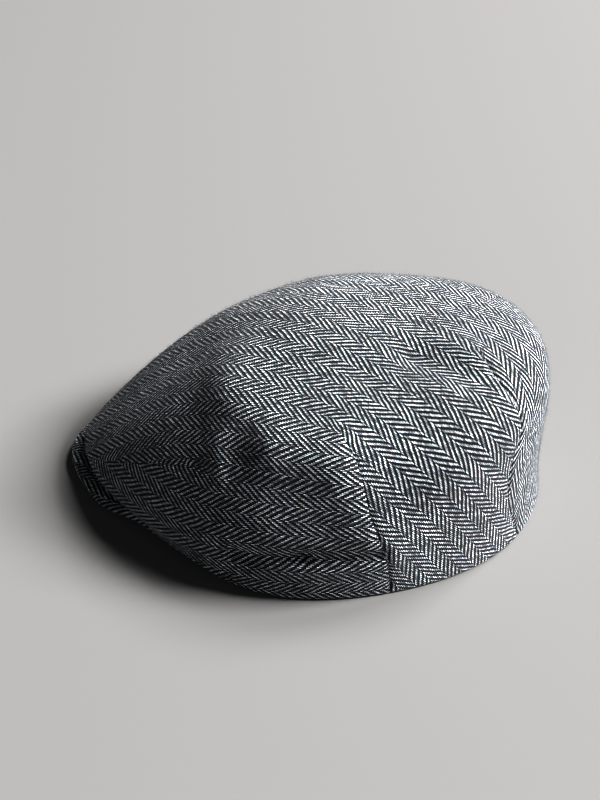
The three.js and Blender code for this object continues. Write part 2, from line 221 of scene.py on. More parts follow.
# %% Curves through the table's columns
def curve_through(xs, ys, closed=False):
    """A cubic curve through points whose bend never jumps. A closed one repeats after its last point."""
    xs, ys = np.array(xs, float), np.array(ys, float)
    count, step = len(xs), np.diff(xs)
    rate = (np.diff(ys, axis=0).T / step).T
    # Each span ties the slopes at its two ends. In a closed curve the spans run on past the last point.
    system, known = np.zeros((count, count)), np.zeros(ys.shape)
    for i in range(count):
        for span, other in ((i - 1, i - 1), (i, i + 1)):
            if closed:
                span = span % (count - 1)
                other = (other - 1) % (count - 1) + 1 if other > i else other % (count - 1)
            if 0 <= span < count - 1:
                system[i, i] += 2 / step[span]
                system[i, other] += 1 / step[span]
                known[i] += 3 * rate[span] / step[span]
    slopes = np.linalg.solve(system, known)

    def curve(x):
        x = np.asarray(x, float)
        i = np.clip(np.searchsorted(xs, x, side="right") - 1, 0, count - 2)
        h = step[i]
        t = np.clip((x - xs[i]) / h, 0, 1)
        if ys.ndim > 1:
            h, t = h[..., None], t[..., None]
        near = ys[i] * (1 + 2 * t) * (1 - t) ** 2 + h * slopes[i] * t * (1 - t) ** 2
        far = ys[i + 1] * t * t * (3 - 2 * t) + h * slopes[i + 1] * t * t * (t - 1)
        return near + far

    return curve


def smooth(low, high, value):
    t = np.clip((np.asarray(value, float) - low) / (high - low), 0, 1)
    return t * t * (3 - 2 * t)


def wrapped(turn):
    return (np.asarray(turn, float) + 180) % 360 - 180


def round_cap(key):
    """One column of SECTIONS as a curve round the whole cap."""
    sign = -1 if key == "across" else 1
    own = [(row["turn"], row[key]) for row in SECTIONS]
    mirrored = [(-turn, sign * value) for turn, value in own[:0:-1]]
    turns, values = zip(*mirrored, *own)
    curve = curve_through(turns, values, closed=True)
    return lambda turn: curve(wrapped(turn))


section = {key: round_cap(key) for key in SECTIONS[0] if key != "turn"}
print("sections", len(SECTIONS), "with", sorted(section))

# %% [markdown]
# ## The crown's skin as a chart
# A point of the skin is named by its turn and its share: the part of the way from the apex (0) down to the lower
# edge (1). Each section is a Bezier curve from the apex to the widest line and another down the wall. They are
# worked out once for every degree and kept in a chart, which is then read like a map.

# %% The chart
def edge_point(turn):
    along = section["along"](turn)
    lift = np.maximum(0, section["lift"](turn)) * smooth(FLAT_TURN, LIFTED_TURN, np.abs(wrapped(turn)))
    y = along * np.where(along > 0, BACK_REACH, FRONT_REACH)
    return np.stack([HEM_HALF_WIDTH * section["across"](turn), y, FRONT_EDGE_LIFT * lift], -1)


def edge_outwards(turn):
    way = edge_point(np.add(turn, 0.5)) - edge_point(np.add(turn, -0.5))
    out = np.stack([-way[..., 1], way[..., 0], 0 * way[..., 0]], -1)
    return out / np.linalg.norm(out, axis=-1, keepdims=True)


def bezier(a, b, c, d, t):
    return a * (1 - t) ** 3 + 3 * b * t * (1 - t) ** 2 + 3 * c * t * t * (1 - t) + d * t ** 3


TURNS = np.linspace(-180, 180, 361)
SHARES = np.linspace(0, 1, 401)
TOP_POINTS, WALL_POINTS = 200, 50   # of a profile's two curves, before it is read at SHARES


def profile(turn):
    """The skin's line from the apex to the edge at a turn, at each of SHARES, and its length."""
    apex = np.array([0, APEX_BEHIND_MIDDLE, CROWN_HEIGHT])
    edge = edge_point(turn)
    wide = edge + edge_outwards(turn) * WALL_LEAN * section["lean"](turn)
    wide[2] = edge[2] + WALL_RISE * section["rise"](turn)
    upright = wide[2] + section["drop"](turn) * (apex[2] - wide[2])
    t = np.linspace(0, 1, TOP_POINTS)
    top = apex + (wide - apex) * bezier(0, section["flat"](turn), 1, 1, t)[:, None]
    top[:, 2] = bezier(apex[2], apex[2], upright, wide[2], t)
    t = np.linspace(0, 1, WALL_POINTS)[1:]
    fall = wide[2] - edge[2]
    wall = wide + (edge - wide) * bezier(0, 0, WALL_MEETS, 1, t)[:, None]
    wall[:, 2] = bezier(wide[2], wide[2] - WALL_LEAVES * fall, edge[2] + WALL_ARRIVES * fall, edge[2], t)
    points = np.vstack([top, wall])
    run = np.append(0, np.cumsum(np.linalg.norm(np.diff(points, axis=0), axis=1)))
    return np.stack([np.interp(SHARES * run[-1], run, points[:, k]) for k in range(3)], -1), run[-1]


profiles = [profile(turn) for turn in TURNS]
skin = np.stack([points for points, _ in profiles])
skin_length = np.array([length for _, length in profiles])

# Near the apex the heights of neighbouring profiles are averaged, because cloth passes over the top in one curve.
EASED_SHARE = 0.5                # the part of the way down from the apex over which the top is eased
EASED_TURN = 70                  # degrees to each side over which it is eased at the apex
WEIGHTS = np.array([1, 4, 6, 4, 1]) / 16
heights = skin[:, :, 2].copy()
for column in np.flatnonzero(SHARES < EASED_SHARE):
    reach = EASED_TURN * (1 - SHARES[column] / EASED_SHARE)
    around = [np.interp(wrapped(TURNS + k / 2 * reach), TURNS, skin[:, column, 2]) for k in range(-2, 3)]
    heights[:, column] = WEIGHTS @ around
skin[:, :, 2] = heights

# The way outwards at each place of the chart.
round_way = np.roll(skin[:-1], -1, 0) - np.roll(skin[:-1], 1, 0)
round_way = np.concatenate([round_way, round_way[:1]])
square = np.cross(round_way, np.gradient(skin, axis=1))
CLEAR_OF_APEX = 8                # rows of the chart round the apex that are too narrow to measure
square[:, :CLEAR_OF_APEX] = square[:, CLEAR_OF_APEX:CLEAR_OF_APEX + 1]
square[:, 0] = (0, 0, 1)
square /= np.linalg.norm(square, axis=2, keepdims=True)


def read(chart, turn, share=None):
    """The chart's value at turns and shares, between its rows and columns."""
    turn = (np.asarray(turn, float) + 180) % 360
    if share is not None:
        turn, share = np.broadcast_arrays(turn, share)
    i = np.minimum(turn.astype(int), len(TURNS) - 2)
    a = turn - i
    if share is None:
        return chart[i] * (1 - a) + chart[i + 1] * a
    a = a[..., None]
    down = np.clip(share, 0, 1) * (len(SHARES) - 1)
    j = np.minimum(down.astype(int), len(SHARES) - 2)
    b = (down - j)[..., None]
    low = chart[i, j] * (1 - a) + chart[i + 1, j] * a
    high = chart[i, j + 1] * (1 - a) + chart[i + 1, j + 1] * a
    return low * (1 - b) + high * b


print("skin", skin.shape, "from", skin_length.min().round(), "to", skin_length.max().round(), "mm down")

# %% [markdown]
# ## The darts
# A flat piece of cloth can't lie on a dome. The maker folds wedges of it away and sews each wedge shut, which leaves
# one seam line with a sharp end. There are four on each side: rear, side, a short one at the hem, and a long one to
# the front. The faces are laid out so that a column of points runs down each seam.

# %% The darts' seams
# From the tip to the crown's lower edge. share: part of the way down. turn: degrees from the back's middle.
DARTS = {
    "rear": table("share turn", (0.387, 17.5), (0.465, 23.5), (0.583, 26.5), (0.7, 30), (0.82, 30), (0.91, 27),
                  (1, 23.5)),
    "side": table("share turn", (0.454, 80.5), (0.54, 75.5), (0.685, 72.5), (0.823, 68.5), (1, 66)),
    "hem": table("share turn", (0.93, 111), (1, 111)),
    "front": table("share turn", (0.654, 126.5), (0.75, 142.5), (0.87, 158), (0.95, 167), (1, 171)),
}
SEAM_DEPTH = {"rear": 1.0, "side": 0.8, "hem": 0.7, "front": 0.9}   # of the valley along each seam, in mm
SEAM_STEP = 0.02                 # share over which a seam's direction is measured


def seam_line(name, side):
    rows = DARTS[name]
    curve = curve_through([row["share"] for row in rows], [row["turn"] for row in rows])
    tip = rows[0]["share"]

    def turn_at(share):
        return side * curve(np.maximum(share, tip))

    # Degrees of turn for a millimetre square to the seam. Above the tip the degrees stay the same.
    def per_mm(share):
        at = np.clip(share, tip + SEAM_STEP, 1 - SEAM_STEP)
        above, below = at - SEAM_STEP, at + SEAM_STEP
        way = read(skin, turn_at(below), below) - read(skin, turn_at(above), above)
        way /= np.linalg.norm(way, axis=-1, keepdims=True)
        across = read(skin, turn_at(at) + 1, at) - read(skin, turn_at(at), at)
        return 1 / np.linalg.norm(np.cross(across, way), axis=-1)

    return {"tip": tip, "turn_at": turn_at, "per_mm": per_mm, "depth": SEAM_DEPTH[name]}


seams = [seam_line(name, -1) for name in reversed(DARTS)] + [seam_line(name, 1) for name in DARTS]
print("seams", len(seams))

# %% The rows and columns between the seams
ROWS = 96                        # from the apex to the edge
ROLL_ROWS = (1.0, 0.7, 0.45, 0.25, 0.1, 0.03, 0.0)   # rows down the hem's round corner, as shares of its radius
NEAR_SEAM = (0, 0.25, 0.6, 1.2, 2.4, 4.5)            # columns on each side of a seam, in mm from it
PANEL_STEPS = (30, 26, 34, 46, 34, 26, 30, 34)       # columns from each seam to the next one round the cap
HEM_THICKNESS = 5                # the wall where the cloth is turned up inside
EDGE_ROUND = 0.42                # radius of the hem's lower corner, as a share of its thickness
CORNER_CLEAR = 1.2               # the even rows end this many radii above the edge

corner_share = EDGE_ROUND * HEM_THICKNESS / skin_length.min()
shares = np.linspace(0, 1, ROWS + 1)
shares = np.append(shares[shares < 1 - CORNER_CLEAR * corner_share], 1 - corner_share * np.array(ROLL_ROWS))
panels = []
for index, steps in enumerate(PANEL_STEPS):
    first, last = seams[index], seams[(index + 1) % len(seams)]
    start = first["turn_at"](shares)[:, None] + first["per_mm"](shares)[:, None] * np.array(NEAR_SEAM)
    end = last["turn_at"](shares)[:, None] - last["per_mm"](shares)[:, None] * np.array(NEAR_SEAM[::-1])
    end = end + (360 if index == len(seams) - 1 else 0)
    part = np.arange(1, steps) / steps
    between = start[:, -1:] * (1 - part) + end[:, :1] * part
    panels.append({"turns": np.hstack([start, between, end]), "first": first, "last": last})
print("panels", [panel["turns"].shape for panel in panels])

# %% [markdown]
# ## Soft folds and seam valleys
# Worn cloth isn't even. On the side that is seen, hollows lie over the hem and above the rear and side darts, and
# soft ridges along the darts and along the shoulder, where the top turns into the wall. Each seam sits in a narrow
# valley with small puckers beside it. All this could be painted as bump, but then the outline would stay smooth, so
# it moves the points.

# %% Folds, puckers and valleys
# A fold runs from turn and share to turn_to and share_to. width and depth: shares of CROWN_HEIGHT. A depth over 0
# is a hollow, and one under 0 a ridge.
FOLDS = table(
    "name turn share turn_to share_to width depth",
    ("rear dart", 33, 0.27, 29, 0.41, 0.1, 0.042),
    ("rear dart's edge", 17, 0.36, 27, 0.6, 0.08, -0.014),
    ("hem, front half", 110, 0.86, 90, 0.835, 0.042, 0.034),
    ("hem, rear half", 90, 0.835, 70, 0.83, 0.042, 0.026),
    ("front shoulder", 164, 0.37, 134, 0.44, 0.15, -0.02),
    ("near shoulder", 134, 0.44, 106, 0.5, 0.14, -0.026),
    ("side shoulder", 102, 0.52, 82, 0.555, 0.13, -0.018),
    ("side dart", 81, 0.53, 69.5, 0.8, 0.16, -0.036),
    ("over the side", 96, 0.26, 50, 0.3, 0.18, 0.026),
    ("rear shoulder", 54, 0.61, 35, 0.6, 0.15, -0.032),
    ("back shoulder", 8, 0.3, 24, 0.34, 0.18, -0.018),
    ("back wall", 12, 0.78, 30, 0.72, 0.2, 0.008),
    ("front dart's tip", 126, 0.575, 120, 0.665, 0.08, -0.02),
    ("front dart's dimple", 129, 0.655, 125, 0.645, 0.035, 0.009),
    ("top crease", 70, 0.25, 62, 0.36, 0.05, 0.008),
)
SEAM_WIDTH = 0.8                 # from a seam's middle to where most of its depth is gone
SEAM_SHARPNESS = 1.3             # 1 gives the valley a sharp bottom, and 2 a round one
SEAM_FADE = 10                   # the valley runs out over this length at the dart's tip
PUCKER_DEPTH = 0.22
PUCKER_PITCH = 8.5               # one pucker to the next along the seam
PUCKER_REACH = 6                 # how far they reach from the seam
PUCKER_START = 1.5               # and how far from it they begin


def fold_depth(points):
    depth = np.zeros(points.shape[:-1])
    for fold in FOLDS:
        start = read(skin, fold["turn"], fold["share"])
        way = read(skin, fold["turn_to"], fold["share_to"]) - start
        part = np.clip((points - start) @ way / (way @ way), 0, 1)
        away = np.linalg.norm(points - start - part[..., None] * way, axis=-1)
        depth += fold["depth"] * CROWN_HEIGHT * np.exp(-(away / (fold["width"] * CROWN_HEIGHT)) ** 2)
    return depth


def seam_depth(panel):
    turns = panel["turns"]
    depth = np.zeros(turns.shape)
    for seam, at_seam, sign in ((panel["first"], turns[:, :1], 1), (panel["last"], turns[:, -1:], -1)):
        away = np.abs(turns - at_seam) / seam["per_mm"](shares)[:, None]
        run = (shares - seam["tip"])[:, None] * read(skin_length, at_seam)
        valley = seam["depth"] * np.exp(-(away / SEAM_WIDTH) ** SEAM_SHARPNESS)
        wave = 0.5 + 0.5 * np.cos(2 * math.pi * run / PUCKER_PITCH + sign)
        fade = np.exp(-(away / PUCKER_REACH) ** 2) * (1 - np.exp(-(away / PUCKER_START) ** 2))
        depth += smooth(0, SEAM_FADE, run) * (valley + PUCKER_DEPTH * wave * fade)
    return depth


# %% [markdown]
# ## The cloth's thickness and the hem
# The wall is the outer cloth with its backing. At the bottom the cloth is turned up inside, which doubles the wall
# there, and over the peak it thins to a single fold.

# %% The wall
CLOTH = 2.5
HEM_DEPTH = 30                   # height of the turned-up cloth
HEM_STEP = 6                     # the height over which the wall thins from the hem to the cloth
EDGE_THICKNESS = 3.2             # the crown's front edge, folded once
THIN_LIFT = (0.1, 0.7)           # shares of FRONT_EDGE_LIFT between which the hem thins to a single fold
EDGE_ROLL = 10                   # the height over which the inner face turns level towards the edge
FOLDS_END = 4                    # folds and valleys die out over this last height, so that the hem lies flat


def edge_thickness(turn):
    return HEM_THICKNESS + (EDGE_THICKNESS - HEM_THICKNESS) * smooth(*THIN_LIFT, section["lift"](turn))


def inner_points(panel):
    turns, share = panel["turns"], shares[:, None]
    height = (1 - share) * read(skin_length, turns)
    part = smooth(0, EDGE_ROLL, height)[..., None]
    way = read(square, turns, share) * part + edge_outwards(turns) * (1 - part)
    way /= np.linalg.norm(way, axis=-1, keepdims=True)
    lip = edge_thickness(turns)
    thick = lip + (CLOTH - lip) * smooth(HEM_DEPTH - HEM_STEP, HEM_DEPTH, height)
    plain = read(skin, turns, share)
    depth = fold_depth(plain) * smooth(0, FOLDS_END, height) + thick
    return plain - way * depth[..., None]


def outer_points(panel):
    turns, share = panel["turns"], shares[:, None]
    height = (1 - share) * read(skin_length, turns)
    plain = read(skin, turns, share)
    depth = (fold_depth(plain) + seam_depth(panel)) * smooth(0, FOLDS_END, height)
    points = plain - read(square, turns, share) * depth[..., None]
    radius = EDGE_ROUND * edge_thickness(turns)
    under = np.clip(1 - height / radius, 0, 1)
    inset = radius * (1 - np.sqrt(1 - under ** 2))
    return points - edge_outwards(turns) * inset[..., None]


for panel in panels:
    panel["outer"] = outer_points(panel)
    panel["inner"] = inner_points(panel)
print("walls", round(float(np.linalg.norm(panels[0]["outer"] - panels[0]["inner"], axis=-1).max()), 1), "mm at most")

# %% [markdown]
# ## The paper pattern
# The weave has to lie on the crown as it does on the real one, and cloth bends but hardly stretches. So the skin is
# cut open along the darts and laid flat, like the paper pattern that the maker started from. Blender's unwrap could
# do it, but it can't be steered. This one keeps each small triangle as rigid as it can: it turns all of them to their
# best direction, joins them by least squares, and repeats.

# %% The skin as coarse triangles
FLAT_ROWS = 30
FLAT_STEPS = (7, 6, 8, 8, 8, 6, 7, 8)
TIP_PLAY = 0.02                  # a dart opens from this share below its tip

flat_shares = np.linspace(0, 1, FLAT_ROWS)
places, layout, triangles = [read(skin, 0, 0)], [np.zeros(2)], []
for index, (panel, steps) in enumerate(zip(panels, FLAT_STEPS)):
    last_panel = index == len(panels) - 1
    start, end = panel["first"]["turn_at"](flat_shares), panel["last"]["turn_at"](flat_shares) + 360 * last_panel
    part = np.linspace(0, 1, steps + 1)
    turns = start[:, None] * (1 - part) + end[:, None] * part
    numbers = np.zeros(turns.shape, int)
    for row in range(1, FLAT_ROWS):
        for k in range(steps + 1):
            # Above a dart's tip the cloth is whole, so both panels use the same point there.
            if k == 0 and index > 0 and flat_shares[row] <= panel["first"]["tip"] + TIP_PLAY:
                numbers[row, k] = panels[index - 1]["numbers"][row, -1]
            elif k == steps and last_panel and flat_shares[row] <= panel["last"]["tip"] + TIP_PLAY:
                numbers[row, k] = panels[0]["numbers"][row, 0]
            else:
                numbers[row, k] = len(places)
                places.append(read(skin, turns[row, k], flat_shares[row]))
                angle, run = math.radians(turns[row, k]), flat_shares[row] * read(skin_length, turns[row, k])
                layout.append(run * np.array([math.sin(angle), math.cos(angle)]))
    for row in range(FLAT_ROWS - 1):
        for k in range(steps):
            (a, b), (d, c) = numbers[row, k:k + 2], numbers[row + 1, k:k + 2]
            triangles += [(a, c, d), (a, b, c)] if row > 0 else [(a, c, d)]
    panel["numbers"] = numbers
places, layout, triangles = np.array(places), np.array(layout), np.array(triangles)
print("pattern", len(triangles), "triangles")

# %% Laying them flat
ROUNDS = 60

corners = places[triangles]
side_a, side_b = corners[:, 1] - corners[:, 0], corners[:, 2] - corners[:, 0]
facing = np.cross(side_a, side_b)
double_area = np.linalg.norm(facing, axis=1)
along_x = side_a / np.linalg.norm(side_a, axis=1)[:, None]
along_y = np.cross(facing / double_area[:, None], along_x)
flat = np.zeros((len(triangles), 3, 2))
flat[:, 1, 0] = np.linalg.norm(side_a, axis=1)
flat[:, 2, 0] = (side_b * along_x).sum(1)
flat[:, 2, 1] = (side_b * along_y).sum(1)
opposite = np.roll(flat, -2, 1) - np.roll(flat, -1, 1)
pull = np.stack([-opposite[:, :, 1], opposite[:, :, 0]], -1) / double_area[:, None, None]

joined = np.zeros((len(places), len(places)))
for i in range(3):
    for j in range(3):
        np.add.at(joined, (triangles[:, i], triangles[:, j]), double_area / 2 * (pull[:, i] * pull[:, j]).sum(1))
joined[0, 0] += 1                # the apex stays at the pattern's origin
solved = np.linalg.inv(joined)


def change_of(layout):
    """How each flat triangle is turned and stretched in the layout."""
    return np.einsum("tkc,tkd->tcd", layout[triangles], pull)


def turned(change):
    return np.arctan2(change[:, 1, 0] - change[:, 0, 1], change[:, 0, 0] + change[:, 1, 1])


def lay(swing):
    """The layout in which each triangle comes closest to its own swing."""
    rigid = np.stack([np.cos(swing), -np.sin(swing), np.sin(swing), np.cos(swing)], -1).reshape(-1, 2, 2)
    wanted = np.zeros((len(places), 2))
    for k in range(3):
        np.add.at(wanted, triangles[:, k], (rigid @ pull[:, k, :, None])[..., 0] * double_area[:, None] / 2)
    return solved @ wanted


for _ in range(ROUNDS):
    layout = lay(turned(change_of(layout)))
stretch = np.linalg.svd(change_of(layout), compute_uv=False)
print("stretch", stretch.min().round(3), "to", stretch.max().round(3))

# %% [markdown]
# ## The grain
# The crown is cut with the cloth's warp about 30 degrees off the line from back to front, so the herringbone's bands
# run aslant over the top and bend down behind the side dart. The flat pattern alone doesn't give their way
# everywhere, because a real crown is also steamed and worn into shape. The guides below turn the threads, most of
# all at the back. They were set so that the bands run as the real ones do.

# %% Steering the grain
WARP_TURN = math.radians(30)     # the warp, from straight back towards the wearer's left
# aside and back: place on the flat pattern in mm from the apex. swing: in degrees. reach: how far it is felt, in mm.
GUIDES = table(
    "aside back swing reach",
    (20, -115, -26, 22),
    (45, -90, -18, 22),
    (25, -55, -4, 22),
    (0, 0, 0, 22),
    (-10, 65, 12, 22),
    (22, 90, 34, 22),
    (36, 128, -10, 22),
    (42, 160, -30, 22),
    (55, 35, -2, 22),
    (90, 50, 2, 22),
    (120, 70, 7, 22),
    (60, -15, 0, 22),
    (100, -25, -16, 22),
    (135, -30, -10, 22),
    (72, -60, -18, 22),
    (95, -65, -14, 22),
    (85, -105, 12, 22),
    (12, 64, 32, 10),
    (38, 50, -8, 10),
)
GUIDE_HOLD = 0.15                # how strongly the cloth keeps its own way where no guide is near

middle = layout[triangles].mean(1)
felt = [np.exp(-((middle - (g["aside"], g["back"])) ** 2).sum(1) / (2 * g["reach"] ** 2)) for g in GUIDES]
steer = sum(weight * g["swing"] for weight, g in zip(felt, GUIDES)) / (GUIDE_HOLD + sum(felt))
layout = lay(turned(change_of(layout)) + np.radians(steer))
stretch = np.linalg.svd(change_of(layout), compute_uv=False)
across_warp = layout @ (math.cos(WARP_TURN), -math.sin(WARP_TURN))
along_warp = layout @ (math.sin(WARP_TURN), math.cos(WARP_TURN))
layout = np.stack([across_warp, along_warp], -1)
print("stretch after steering", np.percentile(stretch, [1, 50, 99]).round(2))

# %% The pattern on the fine grid
for panel, steps in zip(panels, FLAT_STEPS):
    coarse = layout[panel["numbers"]]
    down = curve_through(flat_shares, coarse.reshape(FLAT_ROWS, -1))(shares).reshape(len(shares), steps + 1, 2)
    first, last = panel["turns"][:, :1], panel["turns"][:, -1:]
    part = (panel["turns"] - first) / (last - first)
    spread = np.linspace(0, 1, steps + 1)
    panel["pattern"] = np.stack([curve_through(spread, row)(at) for row, at in zip(down, part)])
reach = np.vstack([panel["pattern"].reshape(-1, 2) for panel in panels])
print("pattern reaches", reach.min(0).round(), reach.max(0).round())

# %% [markdown]
# ## The tweed
# Herringbone tweed is woven wool. Light warp yarns pass over two dark weft yarns and under two, each a step on from
# its neighbour, so slanting lines appear. After ten warp yarns the steps turn back, which gives the broken zigzag.
# A wave texture could draw zigzags, but not yarns. So the shader does what the loom does: it counts the yarns and
# works out which one lies on top.

# %% The weave as the loom makes it
END_PITCH = 0.67                 # one warp yarn to the next, in mm
PICK_PITCH = 1.03                # one weft yarn to the next
BAND_ENDS = 10                   # warp yarns in a band between two turns of the zigzag
REPEAT = 4                       # picks after which a warp yarn repeats: over two, under two
YARN_WANDER = 0.26               # how far uneven yarns stray from straight lines, in mm
NOISE_SPREAD = 0.25              # how far a noise texture strays from its middle of 0.5
WANDER_SIZE = 0.11               # strays for each mm of cloth
WANDER_DETAIL = 4.0              # each further octave strays half as far over half the length


def weave(tree):
    """The loom's sums: yarn numbers, which yarn is on top, and the place across and along it."""
    place = add(tree, "UVMap", uv_map="cloth")
    stray = add(tree, "TexNoise", {"Vector": place, "Scale": WANDER_SIZE, "Detail": WANDER_DETAIL},
                noise_dimensions="2D")
    offset = add(tree, "VectorMath", {0: stray.outputs["Color"], 1: (0.5, 0.5, 0.5)}, operation="SUBTRACT")
    offset = add(tree, "VectorMath", {0: offset, "Scale": YARN_WANDER / NOISE_SPREAD}, operation="SCALE")
    place = add(tree, "VectorMath", {0: place, 1: offset}, operation="ADD")
    axes = add(tree, "SeparateXYZ", {0: place})
    end = calc(tree, "DIVIDE", axes.outputs["X"], END_PITCH)
    end_number = calc(tree, "FLOOR", end)
    band = calc(tree, "FLOOR", calc(tree, "DIVIDE", end_number, BAND_ENDS))
    odd = calc(tree, "FLOORED_MODULO", band, 2.0)
    count = calc(tree, "FLOORED_MODULO", end_number, BAND_ENDS)
    back = calc(tree, "SUBTRACT", REPEAT - 1, count)
    step = add(tree, "Mix", {"Factor": odd, "A": count, "B": back})
    pick = calc(tree, "DIVIDE", axes.outputs["Y"], PICK_PITCH)
    stepped = calc(tree, "ADD", pick, step)
    phase = calc(tree, "FLOORED_MODULO", stepped, REPEAT)
    float_number = calc(tree, "FLOOR", calc(tree, "DIVIDE", stepped, REPEAT))
    warp_on_top = calc(tree, "LESS_THAN", phase, REPEAT / 2)
    return {"end": end, "end_number": end_number, "pick": pick, "phase": phase, "float": float_number,
            "warp_on_top": warp_on_top, "place": place}


slant = math.degrees(math.atan2(PICK_PITCH, END_PITCH))
print("band", round(BAND_ENDS * END_PITCH, 1), "mm wide, lines", round(slant), "degrees off the weft")

# %% [markdown]
# The light yarn is soft grey-white wool, and the dark one nearly black. Wool takes its dye unevenly, so every float
# gets its own brightness. Light that falls between two yarns is lost there, so the colour is darkened towards a
# yarn's sides and its ends: painted shade. Fine fibre noise and a slow mottling finish the colour. The same relief
# drives the bump, and a little sheen stands for the short fibres that catch light at a grazing angle.

# %% The tweed's finish, with painted shade between the yarns
LIGHT_YARN = ("#72787f", "#f4faff")   # its dye runs from the first colour to the second
DARK_YARN = ("#04060b", "#141821")
YARN_RELIEF = 0.45               # height of a float over the gap beside it, in mm
WARP_TOP, WARP_SIDES, WARP_ENDS = 1.05, 0.6, 0.95   # a warp float's height, and its fall to the sides and the ends
WEFT_TOP, WEFT_SIDES = 0.45, 0.4                    # and the lower weft yarn's
# Painted shade: the colour is darkened in the gaps between the yarns, where light is lost.
LIT_RELIEF = (0.1, 0.85)         # heights from a dark gap to a yarn in full light
PAINTED_GAP_SHADE = (0.12, 1.0)         # the colour's strength at these heights
FIBRE_STRETCH = (1.7, 0.7, 1)    # tufts of fibre for each mm across and along a yarn
FIBRE_SHADE = (0.4, 1.35)
FIBRE_BUMP = 0.25                # their height, as a share of YARN_RELIEF
MOTTLE_SIZE = 0.03               # light and dark areas for each mm
MOTTLE_SHADE = (0.8, 1.1)
NOISE_DETAIL = 3.0
NOISE_SPAN = (0.3, 0.7)          # most of a noise texture's values lie in it
WOOL_IOR = 1.5
WOOL_ROUGHNESS = 0.92
SHEEN = 0.1
SHEEN_ROUGHNESS = 0.45


def off_middle(tree, fraction):
    """The square of the distance from a yarn's middle, which is 1 at both sides."""
    return calc(tree, "POWER", calc(tree, "MULTIPLY_ADD", fraction, 2.0, -1.0), 2.0)


def remap(tree, value, span, shade):
    names = ("From Min", "From Max", "To Min", "To Max")
    return add(tree, "MapRange", {"Value": value, **dict(zip(names, (*span, *shade)))})


def tweed_material(name):
    material, tree = new_material(name)
    loom = weave(tree)
    # A warp float is round across. It lasts half a repeat, so it's highest at a quarter and dips under at both ends.
    across = off_middle(tree, calc(tree, "SUBTRACT", loom["end"], loom["end_number"]))
    along = calc(tree, "POWER", calc(tree, "SUBTRACT", loom["phase"], REPEAT / 4), 4.0)
    warp = calc(tree, "MULTIPLY_ADD", across, -WARP_SIDES, WARP_TOP)
    warp = calc(tree, "MULTIPLY_ADD", along, -WARP_ENDS, warp)
    # The weft yarn lies lower.
    across = off_middle(tree, calc(tree, "FRACT", loom["pick"]))
    weft = calc(tree, "MULTIPLY_ADD", across, -WEFT_SIDES, WEFT_TOP)
    relief = add(tree, "Mix", {"Factor": loom["warp_on_top"], "A": weft, "B": warp})
    relief = calc(tree, "MAXIMUM", relief, 0.0)

    # Colour of each float and each pick.
    pair = add(tree, "CombineXYZ", {"X": loom["end_number"], "Y": loom["float"]})
    dye = add(tree, "TexWhiteNoise", {"Vector": pair}, noise_dimensions="2D")
    light = blend(tree, dye.outputs["Value"], *map(linear, LIGHT_YARN))
    dye = add(tree, "TexWhiteNoise", {"W": calc(tree, "FLOOR", loom["pick"])}, noise_dimensions="1D")
    dark = blend(tree, dye.outputs["Value"], *map(linear, DARK_YARN))
    colour = blend(tree, loom["warp_on_top"], dark, light)

    # Painted shade between the yarns, fibres and mottling, all as one factor on the colour.
    fibre_place = add(tree, "VectorMath", {0: loom["place"], 1: FIBRE_STRETCH}, operation="MULTIPLY")
    fibres = add(tree, "TexNoise", {"Vector": fibre_place, "Scale": 1.0, "Detail": NOISE_DETAIL},
                 noise_dimensions="2D")
    mottle = add(tree, "TexNoise", {"Vector": loom["place"], "Scale": MOTTLE_SIZE, "Detail": NOISE_DETAIL},
                 noise_dimensions="2D")
    # Painted shade: the colour is darker in the gaps between the yarns.
    shade = remap(tree, relief, LIT_RELIEF, PAINTED_GAP_SHADE)
    shade = calc(tree, "MULTIPLY", shade, remap(tree, fibres, NOISE_SPAN, FIBRE_SHADE))
    shade = calc(tree, "MULTIPLY", shade, remap(tree, mottle, NOISE_SPAN, MOTTLE_SHADE))
    colour = add(tree, "VectorMath", {0: colour, "Scale": shade}, operation="SCALE")

    height = calc(tree, "MULTIPLY_ADD", fibres, FIBRE_BUMP, relief)
    bump = add(tree, "Bump", {"Height": height, "Distance": YARN_RELIEF * MM, "Strength": 1.0})
    wool = add(tree, "BsdfPrincipled", {"Base Color": colour, "Normal": bump, "Roughness": WOOL_ROUGHNESS,
                                        "IOR": WOOL_IOR, "Sheen Weight": SHEEN, "Sheen Roughness": SHEEN_ROUGHNESS})
    add(tree, "OutputMaterial", {"Surface": wool})
    return material


tweed = tweed_material("herringbone tweed, woven wool")
print("tweed", len(tweed.node_tree.nodes), "nodes")

# %% [markdown]
# ## The crown's mesh
# The points of the outer and inner skin go into one mesh that closes at the apex and at the hem, with the pattern's
# places as its UV map in millimetres. The inner skin gets the same cloth, because no lining shows.

# %% A mesh with the cloth's places
def mesh_from_faces(name, points, faces, places_in_pattern, material):
    """A smooth mesh object. places_in_pattern has a place for each corner of each face."""
    mesh = bpy.data.meshes.new(name)
    mesh.from_pydata(((np.asarray(points) + (0, MIDDLE_Y, 0)) * MM).tolist(), [], faces)
    cloth = mesh.uv_layers.new(name="cloth")
    cloth.data.foreach_set("uv", np.asarray(places_in_pattern, float).ravel())
    mesh.polygons.foreach_set("use_smooth", [True] * len(faces))
    mesh.materials.append(material)
    piece = bpy.data.objects.new(name, mesh)
    bpy.context.scene.collection.objects.link(piece)
    return piece


